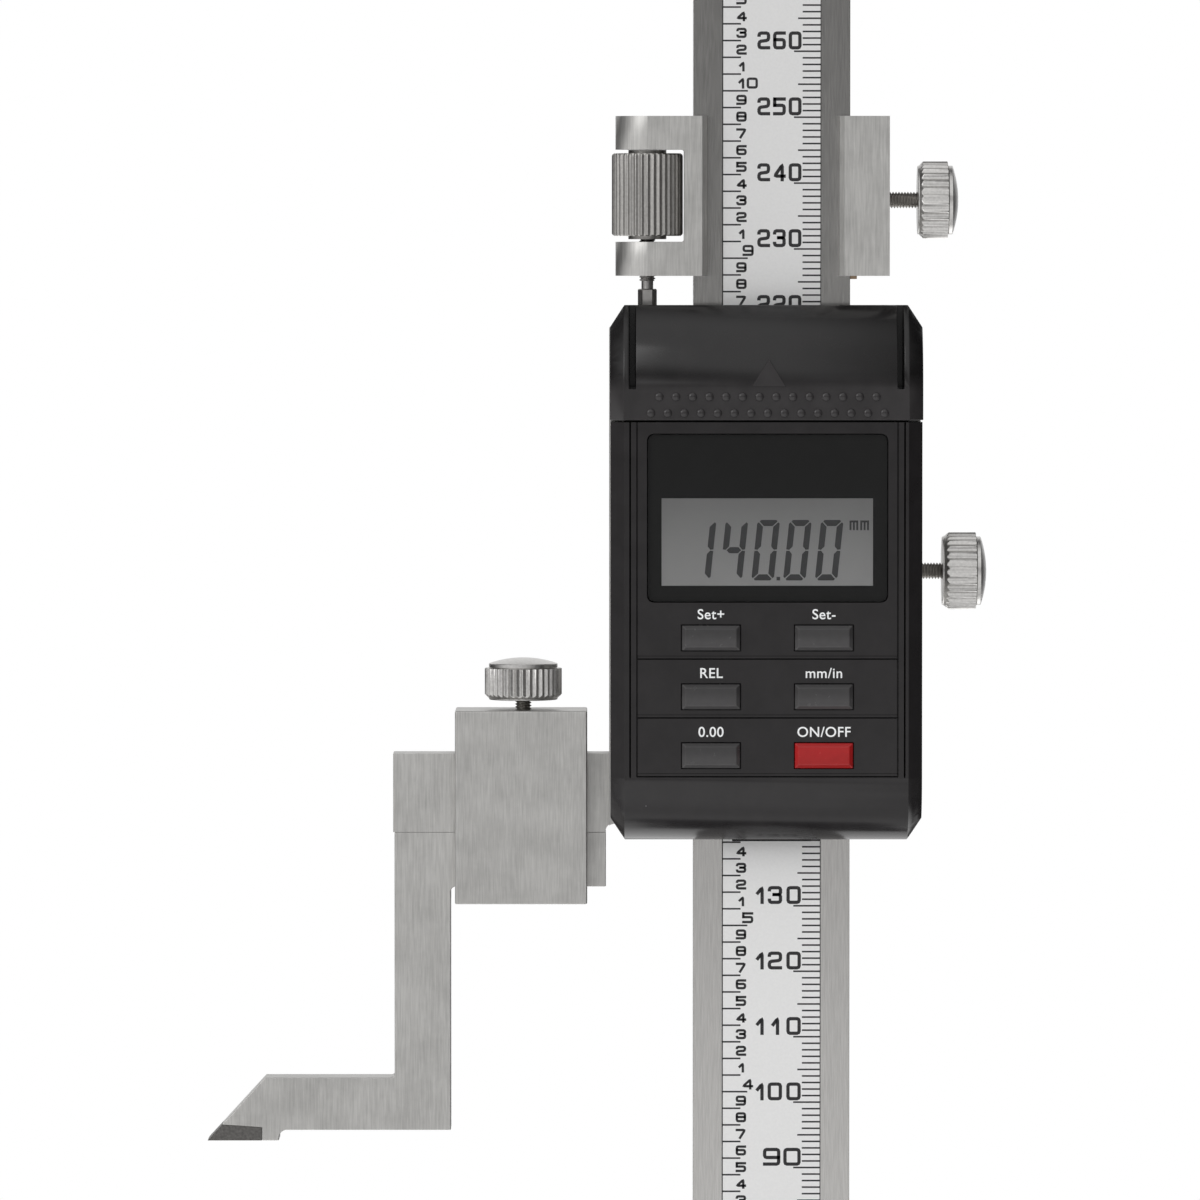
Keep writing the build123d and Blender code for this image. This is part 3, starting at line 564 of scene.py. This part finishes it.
class Print:
    """Flat shapes drawn in X and Z on one plane that faces -Y."""

    def __init__(self, y):
        self.y = y
        self.points = []
        self.faces = []

    def polygon(self, outline):
        """A filled outline of (x, z) points."""
        start = len(self.points)
        self.points += [(x, self.y, z) for x, z in outline]
        self.faces.append(list(range(start, start + len(outline))))

    def box(self, x0, x1, z0, z1):
        """A filled rectangle."""
        self.polygon([(x0, z0), (x1, z0), (x1, z1), (x0, z1)])

    def stroke(self, line, width, closed=False):
        """A line of even width along points, with mitred corners."""
        points = [Vector(p) for p in line]
        count = len(points)
        sides = []
        for number, point in enumerate(points):
            before = points[number - 1] if number or closed else None
            after = points[(number + 1) % count] if number < count - 1 or closed else None
            arrive = (point - before).normalized() if before else (after - point).normalized()
            leave = (after - point).normalized() if after else arrive
            normal = Vector((-arrive.y - leave.y, arrive.x + leave.x)).normalized()
            reach = width / 2 / max(normal.dot(Vector((-arrive.y, arrive.x))), mitre_limit)
            sides.append((point + normal * reach, point - normal * reach))
        for number in range(count if closed else count - 1):
            left, right = sides[number]
            next_left, next_right = sides[(number + 1) % count]
            self.polygon([right, next_right, next_left, left])

    def add(self, name, material, body, slot):
        """Everything drawn so far, as one piece."""
        return add_mesh(name, self.points, self.faces, material, body)


def softened(line, radius, closed):
    """The same line with each inner corner replaced by three points of a round."""
    points = [Vector(p) for p in line]
    count = len(points)
    result = []
    for number, point in enumerate(points):
        if not closed and number in (0, count - 1):
            result.append(point)
            continue
        back = (points[number - 1] - point).normalized()
        ahead = (points[(number + 1) % count] - point).normalized()
        result.append(point + back * radius)
        result.append(point + (back + ahead) * radius * (1 - sqrt(0.5)))
        result.append(point + ahead * radius)
    return result


# Plain block figures: each is a list of lines in a box one wide and one high; True closes a line.
# "l" is the one that leads a millimetre figure; its stem stands at the right of its box.
ring = [(0, 0), (1, 0), (1, 1), (0, 1)]
figures = {
    "0": [(ring, True)],
    "1": [([(0.35, 0.6), (0.74, 1), (0.74, 0)], False)],
    "l": [([(0.64, 0.64), (1.03, 1), (1.03, 0)], False)],
    "2": [([(0, 0.86), (0, 1), (1, 1), (1, 0.51), (0, 0.43), (0, 0), (1, 0)], False)],
    "3": [([(0, 0.86), (0, 1), (1, 1), (1, 0.53), (0.42, 0.53)], False),
          ([(0.42, 0.53), (1, 0.53), (1, 0), (0, 0), (0, 0.14)], False)],
    "4": [([(0.8, 0), (0.8, 1), (0, 0.24), (1, 0.24)], False)],
    "5": [([(1, 1), (0, 1)], False), ([(0, 1), (0, 0.57)], False),
          ([(0, 0.57), (1, 0.57), (1, 0), (0, 0)], False)],
    "6": [([(1, 1), (0, 1), (0, 0), (1, 0), (1, 0.55), (0, 0.55)], False)],
    "7": [([(0, 1), (1, 1), (0.4, 0)], False)],
    "8": [(ring, True), ([(0, 0.53), (1, 0.53)], False)],
    "9": [([(0, 0), (1, 0), (1, 1), (0, 1), (0, 0.45), (1, 0.45)], False)],
}


def write_figure(sheet, character, left, low, width, height, stroke):
    """Draws one figure; left, low, width and height are those of its inked box."""
    wide = width - stroke
    tall = height - stroke
    for line, closed in figures[character]:
        scaled = [Vector((left + stroke / 2 + x * wide, low + stroke / 2 + z * tall)) for x, z in line]
        if not closed:
            scaled[0] += (scaled[0] - scaled[1]).normalized() * stroke / 2
            scaled[-1] += (scaled[-1] - scaled[-2]).normalized() * stroke / 2
        sheet.stroke(softened(scaled, stroke * figure_round, closed), stroke, closed)


# Scale print

film_low, film_high = place("scale_film")
ticks = Print(film_low.y - print_lift)
for mark in range(scale_marks + 1):
    z = scale_zero + mark
    length = tick_long if mark % 10 == 0 else tick_middle if mark % 5 == 0 else tick_short
    ticks.box(tick_right - length, tick_right, z - tick_thick / 2, z + tick_thick / 2)
for tenth in range(int(10 * scale_marks / inch) + 1):
    z = scale_zero + tenth * inch / 10
    length = inch_tick_short if tenth % 10 else inch_tick_long
    ticks.box(inch_tick_left, inch_tick_left + length, z - tick_thick / 2, z + tick_thick / 2)
for side in (-1, 1):
    edge = side * (border_x - border_thick / 2)
    half = border_thick / 2
    ticks.box(edge - half, edge + half, film_low.z, film_high.z)
ticks.add("scale_ticks", print_black, "base", "scale_print")

metric = Print(film_low.y - print_lift)
for mark in range(0, scale_marks + 1, 10):
    text = str(mark)
    if text.startswith("1"):
        text = "l" + text[1:]
    low = scale_zero + mark + figure_rise
    width, step = next((width, step) for limit, width, step in figure_sizes if mark < limit)
    for number, character in enumerate(text):
        left = figure_right - width - (len(text) - 1 - number) * step
        write_figure(metric, character, left, low, width, figure_height, figure_stroke)
metric.add("scale_figures_metric", print_black, "base", "scale_print")

imperial = Print(film_low.y - print_lift)
for tenth in range(1, int(10 * scale_marks / inch) + 1):
    whole = tenth % 10 == 0
    low = scale_zero + tenth * inch / 10 + (whole_rise if whole else tenth_rise)
    text = str(tenth // 10) if whole else str(tenth % 10)
    centre = whole_centre + whole_pair_shift * (len(text) - 1) if whole else tenth_centre
    width = whole_width if whole else tenth_width
    tall = whole_height if whole else tenth_height
    for number, character in enumerate(text):
        left = centre - width / 2 + (number - (len(text) - 1) / 2) * whole_pitch
        write_figure(imperial, character, left, low, width, tall, tenth_stroke)
imperial.add("scale_figures_inch", print_black, "base", "scale_print")


# Display: border, segments and unit

window_low, window_high = place("display_window")
lcd_low = place("lcd_panel")[0]
mask = Print(window_high.y - border_ahead)
left = window_low.x + border_inset + border_corner
right = window_high.x - border_inset - border_corner
low = window_low.z + border_inset + border_corner
high = window_high.z - border_inset - border_corner
rim = []
for x, z, start, inner in ((right, low, -90, (view_right, view_low)), (right, high, 0, (view_right, view_high)),
                           (left, high, 90, (view_left, view_high)), (left, low, 180, (view_left, view_low))):
    for step in range(border_steps + 1):
        angle = radians(start + 90 * step / border_steps)
        rim.append(((x + border_corner * cos(angle), z + border_corner * sin(angle)), inner))
for number, (outer, inner) in enumerate(rim):
    next_outer, next_inner = rim[(number + 1) % len(rim)]
    mask.polygon([outer, next_outer, next_inner] + ([inner] if inner != next_inner else []))
mask.add("window_border", mask_black, "slider", "black_case")


def segment_outlines():
    """The seven bars of a digit, by letter, from its lower left corner."""
    w, h, t, g, c = digit_width, digit_height, digit_bar, digit_gap, digit_cut
    m = h / 2
    upper_left = [(0, h - g - 2 * c), (c, h - g - c), (t, h - t - g), (t, m + t / 2 + g),
                  (t / 2, m + g / 2), (0, m + g)]
    top = [(g + 2 * c, h), (w - g - 2 * c, h), (w - g - c, h - c), (w - t - g, h - t), (t + g, h - t),
           (g + c, h - c)]
    middle = [(t / 2 + g, m), (t + g, m + t / 2), (w - t - g, m + t / 2), (w - t / 2 - g, m),
              (w - t - g, m - t / 2), (t + g, m - t / 2)]
    return {
        "a": top,
        "b": [(w - x, z) for x, z in upper_left],
        "c": [(w - x, h - z) for x, z in upper_left],
        "d": [(x, h - z) for x, z in top],
        "e": [(x, h - z) for x, z in upper_left],
        "f": upper_left,
        "g": middle,
    }


lit = {"0": "abcdef", "1": "bc", "4": "bcfg"}
digits = Print(lcd_low.y - segment_lift)
bars = segment_outlines()
for number, character in enumerate(reading):
    left = digit_left + number * digit_pitch
    for letter in lit[character]:
        digits.polygon([(left + x + z * digit_slant, digit_low + z) for x, z in bars[letter]])
point_left = digit_left + point_after * digit_pitch - (digit_pitch - digit_width) / 2 - point_size / 2
digits.box(point_left, point_left + point_size, digit_low, digit_low + point_size)
unit_high = unit_low + unit_height
for letter in range(2):
    left = unit_left + letter * unit_pitch
    middle = left + unit_width / 2
    right = left + unit_width
    digits.stroke([(left, unit_low), (left, unit_high), (right, unit_high), (right, unit_low)], unit_stroke)
    digits.stroke([(middle, unit_low), (middle, unit_high)], unit_stroke)
digits.add("display_digits", lcd_dark, "slider", "lcd_glass")


# Legends over the keys

housing_low, housing_high = place("display_housing")
legends = {"preset_up_key": "Set+", "preset_down_key": "Set-", "absolute_key": "REL", "unit_key": "mm/in",
           "zero_key": "0.00", "power_key": "ON/OFF"}
for key, words in legends.items():
    key_low, key_high = place(key)
    cap_middle = (key_low + key_high) / 2
    curve = bpy.data.curves.new("legend_" + key, "FONT")
    curve.body = words
    curve.size = legend_size * MM
    curve.align_x = "CENTER"
    curve.align_y = "CENTER"
    curve.offset = legend_weight * MM
    curve.space_character = legend_spacing
    curve.materials.append(legend_white)
    legend = bpy.data.objects.new("legend_" + key, curve)
    legend.location = Vector((cap_middle.x, housing_low.y - legend_ahead, cap_middle.z + legend_above_key)) * MM
    legend.rotation_euler = (radians(90), 0, 0)
    bpy.context.scene.collection.objects.link(legend)
    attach(legend, "slider")


# Painted shadow in the joints round the window and the key panels, and under the cover's seam

seam_z = place("battery_cover")[0].z
panel_middle = (window_low.x + window_high.x) / 2
panel_left = panel_middle - panel_half
panel_right = panel_middle + panel_half
joints = Print(housing_low.y - joint_ahead)
for reach, thick in ((panel_half, panel_joint), (panel_half + panel_rail, rail_joint)):
    for side in (-1, 1):
        x = panel_middle + side * reach
        joints.box(x - thick / 2, x + thick / 2, panel_low - panel_rise, seam_z - joint_below_seam)
for row in range(panel_rows):
    z = panel_low + row * panel_pitch
    joints.box(panel_left, panel_right, z - row_joint / 2, z + row_joint / 2)
    joints.box(panel_left, panel_right, z + step_low, z + step_high)
joints.box(housing_low.x + seam_inset, housing_high.x - seam_inset, seam_z - seam_thick, seam_z - seam_gap)
window_line = [(window_low.x, window_low.z), (window_high.x, window_low.z), (window_high.x, window_high.z),
               (window_low.x, window_high.z)]
joints.stroke(softened(window_line, window_round, True), window_joint, True)
joints.add("panel_joint_shadows", joint_painted_shadow, "slider", "black_case")


# Turned pieces

def lathe(rows, segments, shape=None, capped=True):
    """Points and faces of a body turned about Z: rows are (radius, height), shape may change a radius."""
    points = []
    for radius, z in rows:
        for number in range(segments):
            angle = 2 * pi * number / segments
            reach = shape(radius, angle, z) if shape else radius
            points.append(Vector((reach * cos(angle), reach * sin(angle), z)))
    faces = []
    for row in range(len(rows) - 1):
        for number in range(segments):
            after = (number + 1) % segments
            start = row * segments
            faces.append([start + number, start + after, start + segments + after, start + segments + number])
    if capped:
        faces.append(list(reversed(range(segments))))
        last = (len(rows) - 1) * segments
        faces.append(list(range(last, last + segments)))
    return points, faces


def join(parts):
    """Several sets of points and faces as one."""
    points = []
    faces = []
    for part_points, part_faces in parts:
        start = len(points)
        points += part_points
        faces += [[start + index for index in face] for face in part_faces]
    return points, faces


def moved(part, matrix):
    """Points and faces after a move."""
    return [matrix @ point for point in part[0]], part[1]


def thread(low, high):
    """A screw thread on Z between two heights."""
    count = int((high - low) / pitch * thread_steps)
    rows = [(thread_radius, low + (high - low) * row / count) for row in range(count + 1)]

    def ridge(reach, angle, z):
        phase = (z / pitch - angle / (2 * pi)) % 1.0
        return reach - thread_depth * min(1.0, max(0.0, thread_flank * abs(2 * phase - 1) - thread_crest))
    return lathe(rows, thread_sides, ridge)


def knurl(radius, depth, teeth):
    """Keeps a turned radius inside a straight knurl: narrow ridges with a hollow flute between them."""
    def shape(reach, angle, z):
        across = abs(2 * ((angle * teeth / (2 * pi)) % 1.0) - 1)
        return min(reach, radius - depth * (1 - min(1.0, knurl_flank * across) ** knurl_power))
    return shape


def dome(start, radius, height):
    """Rows of a shallow dome that ends almost at a point."""
    ball = (radius ** 2 + height ** 2) / (2 * height)
    rows = []
    for number in range(dome_rings + 1):
        reach = radius * (1 - number / dome_rings) + dome_tip
        rows.append((reach, start + sqrt(ball ** 2 - reach ** 2) - ball + height))
    return rows


def corner(radius, z, steps):
    """Rows that follow a broken corner."""
    return [(radius - inward, z + along) for inward, along in steps]


def thumb_screw(length, knurl_length, back_length, teeth):
    """A knurled thumb screw's head on Z, with its dome ending at length."""
    end = length - head_cap - head_dome
    back = end - knurl_length - back_length
    body = [(head_back, back)] + corner(head_rim, back, back_corner)
    body += [(head_rim + (head_radius - head_rim) * part / cone_steps,
              back + head_land + (back_length - head_land) * part / cone_steps)
             for part in range(1, cone_steps + 1)]
    body += corner(head_radius, end, front_corner)
    cap = [(cap_neck, end - cap_sink), (cap_neck, end + cap_foot)]
    cap += corner(head_rim, end, cap_foot_corner) + corner(head_rim, end + head_cap, cap_front_corner)
    cap += dome(end + head_cap, head_rim - dome_inset, head_dome)
    knurled = lathe(body, teeth * points_per_tooth, knurl(head_radius, knurl_depth, teeth))
    return join([knurled, lathe(cap, cap_sides)])


def replace(node, name, part, material, body):
    """A finer piece in the place of a CAD node."""
    piece = add_mesh(name, part[0], part[1], material, body, smooth=True)
    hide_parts(node)
    return piece


def dress_screw(node, body, axis, length, knurl_length, back_length, teeth):
    """A thumb screw's head and threaded stem in the place of its CAD node."""
    stem = length - head_cap - head_dome - knurl_length - back_length
    head = moved(thumb_screw(length, knurl_length, back_length, teeth), axis)
    shank = moved(thread(0, stem + thread_in_head), axis)
    replace(node, node + "_head", head, chrome, body)
    replace(node, node + "_thread", shank, thread_steel, body)


up_to_right = Matrix.Rotation(pi / 2, 4, "Y")
for node, body, knurl_length, back_length in (
        ("slider_lock_screw", "slider_thumb", slider_knurl, slider_back),
        ("carriage_lock_screw", "carriage_thumb", carriage_knurl, carriage_back)):
    low, high = place(node)
    axis = Matrix.Translation((low.x, (low.y + high.y) / 2, (low.z + high.z) / 2)) @ up_to_right
    dress_screw(node, body, axis, high.x - low.x, knurl_length, back_length, side_teeth)
low, high = place("clamp_screw")
axis = Matrix.Translation(((low.x + high.x) / 2, (low.y + high.y) / 2, low.z))
dress_screw("clamp_screw", "clamp_thumb", axis, high.z - low.z, clamp_knurl, clamp_back, clamp_teeth)

low, high = place("fine_adjust_nut")
height = high.z - low.z
nut_half = [(nut_bore, 0), (collar_radius, 0), (collar_radius, collar_length)]
nut_half += corner(nut_radius, collar_length, nut_corner)
nut_rows = nut_half + [(radius, height - z) for radius, z in reversed(nut_half)] + [(nut_bore, 0)]
nut_axis = Matrix.Translation(((low.x + high.x) / 2, (low.y + high.y) / 2, low.z))
nut_body = lathe(nut_rows, nut_teeth * points_per_tooth, knurl(nut_radius, nut_depth, nut_teeth), capped=False)
replace("fine_adjust_nut", "fine_adjust_nut_fine", moved(nut_body, nut_axis), nut_steel, "nut")

low, high = place("fine_adjust_rod")
frame_top = low.z + rod_in_frame - rod_seat
hexagon_radius = hexagon_flats / sqrt(3)
hexagon = lathe(corner(hexagon_radius, 0, hexagon_low_corner)
                + corner(hexagon_radius, hexagon_length, hexagon_high_corner), 6)
neck = lathe([(neck_radius, hexagon_length - neck_overlap),
              (neck_radius, hexagon_length + neck_length + neck_overlap)], neck_sides)
rod = join([thread(low.z - frame_top, rod_overlap), hexagon, neck,
            thread(hexagon_length + neck_length, rod_top)])
rod_axis = Matrix.Translation(((low.x + high.x) / 2, (low.y + high.y) / 2, frame_top))
replace("fine_adjust_rod", "fine_adjust_rod_fine", moved(rod, rod_axis), screw_steel, "slider")


# Battery cover: raised arrow and grip dots

def cover_front(z):
    """Where the cover's rolled front lies at a height."""
    rise = max(z - roll_start, 0.0)
    return housing_low.y + roll_radius - sqrt(roll_radius ** 2 - rise ** 2)


arrow_points = []
outer = housing_low.y - arrow_rise
for step in range(arrow_steps + 1):
    z = arrow_low + (arrow_high - arrow_low) * step / arrow_steps
    half = arrow_width / 2 * (1 - step / arrow_steps) + arrow_tip_half
    outer_half = max(half - arrow_slope, arrow_face_half)
    inner = cover_front(z) + arrow_sink
    arrow_points += [(arrow_x - half, inner, z), (arrow_x - outer_half, outer, z + arrow_lean),
                     (arrow_x + outer_half, outer, z + arrow_lean), (arrow_x + half, inner, z)]
arrow_faces = []
for start in range(0, 4 * arrow_steps, 4):
    for number in range(4):
        after = (number + 1) % 4
        arrow_faces.append([start + number, start + after, start + 4 + after, start + 4 + number])
arrow_faces.append([3, 2, 1, 0])
arrow_faces.append([4 * arrow_steps + number for number in range(4)])
add_mesh("cover_arrow", arrow_points, arrow_faces, grip_black_painted_lighter, "cover", smooth=True)

facing_front = Matrix.Rotation(pi / 2, 4, "X")
dot = lathe([(dot_radius, -dot_sink)] + [(dot_radius * out, dot_rise * up) for out, up in dot_outline]
            + [(dot_tip, dot_rise)], dot_sides)
dots = []
for z, count in dot_rows:
    for number in range(count):
        x = panel_middle + (number - (count - 1) / 2) * dot_pitch
        dots.append(moved(dot, Matrix.Translation((x, housing_low.y, z)) @ facing_front))
dot_points, dot_faces = join(dots)
add_mesh("cover_grip_dots", dot_points, dot_faces, grip_black_painted_lighter, "cover", smooth=True)


# Camera, light and surroundings

scene = bpy.context.scene
camera_data = bpy.data.cameras.new("camera")
camera_data.lens = camera_lens
camera_data.sensor_width = camera_sensor
camera_data.clip_end = camera_reach
camera = bpy.data.objects.new("camera", camera_data)
camera.location = Vector(camera_place) * MM
camera.rotation_euler = (radians(90 - camera_down), 0, 0)
scene.collection.objects.link(camera)
scene.camera = camera
scene.view_settings.view_transform = "Standard"

world = bpy.data.worlds.new("studio")
scene.world = world
world.use_nodes = True
tree = world.node_tree
sky = tree.nodes["Background"]
sky.inputs["Strength"].default_value = 1.0
toward = tree.nodes.new("ShaderNodeTexCoord")
axes = tree.nodes.new("ShaderNodeSeparateXYZ")
tree.links.new(toward.outputs["Generated"], axes.inputs["Vector"])


def ramp(axis, start, end, low, high):
    """A smooth step of one part of the direction, from low at start to high at end."""
    return level_between(tree, axes.outputs[axis], start, end, low, high, smooth=True)


def product(first, second):
    """Two levels multiplied."""
    return combined(tree, "MULTIPLY", first, second)


def brighter(first, second):
    """The higher of two levels."""
    return combined(tree, "MAXIMUM", first, second)


# How bright the surroundings are in each direction; behind the camera is -Y
front_light = ramp("Y", 0.45, -0.35, 0.06, 1.0)
upper_light = ramp("Z", 0.06, 0.35, 0.2, 1.0)
lower_light = ramp("Z", -0.036, -0.074, 0.0, 1.0)
under_shade = ramp("Z", -0.7, -0.92, 1.0, 0.72)
side_light = ramp("X", 0.12, 0.65, 1.0, 0.25)
height_light = product(brighter(upper_light, lower_light), under_shade)
room_light = product(product(front_light, height_light), side_light)
high_light = product(ramp("Y", 0.6, 0.75, 0.0, 1.0), ramp("Z", 0.05, 0.2, 0.0, 1.0))
back_light = brighter(ramp("Y", 0.88, 0.94, 0.0, 1.0), high_light)
floor_light = product(ramp("Y", -0.45, 0.75, 0.75, 2.1), ramp("Z", -0.45, -0.62, 0.0, 1.0))
room = brighter(room_light, brighter(back_light, floor_light))
rays = tree.nodes.new("ShaderNodeLightPath")
tree.links.new(mixed(tree, rays.outputs["Is Camera Ray"], room, (1, 1, 1, 1)), sky.inputs["Color"])


def lamp(name, place_mm, size, power):
    """A soft lamp that points at the instrument."""
    data = bpy.data.lights.new(name, "AREA")
    data.shape = "RECTANGLE"
    data.size = size[0] * MM
    data.size_y = size[1] * MM
    data.energy = power
    light = bpy.data.objects.new(name, data)
    light.location = Vector(place_mm) * MM
    light.rotation_euler = (Vector(lamp_aim) - Vector(place_mm)).to_track_quat("-Z", "Y").to_euler()
    scene.collection.objects.link(light)


lamp("lamp left", place_mm=(-1300, -1500, 1100), size=(1200, 1200), power=9)
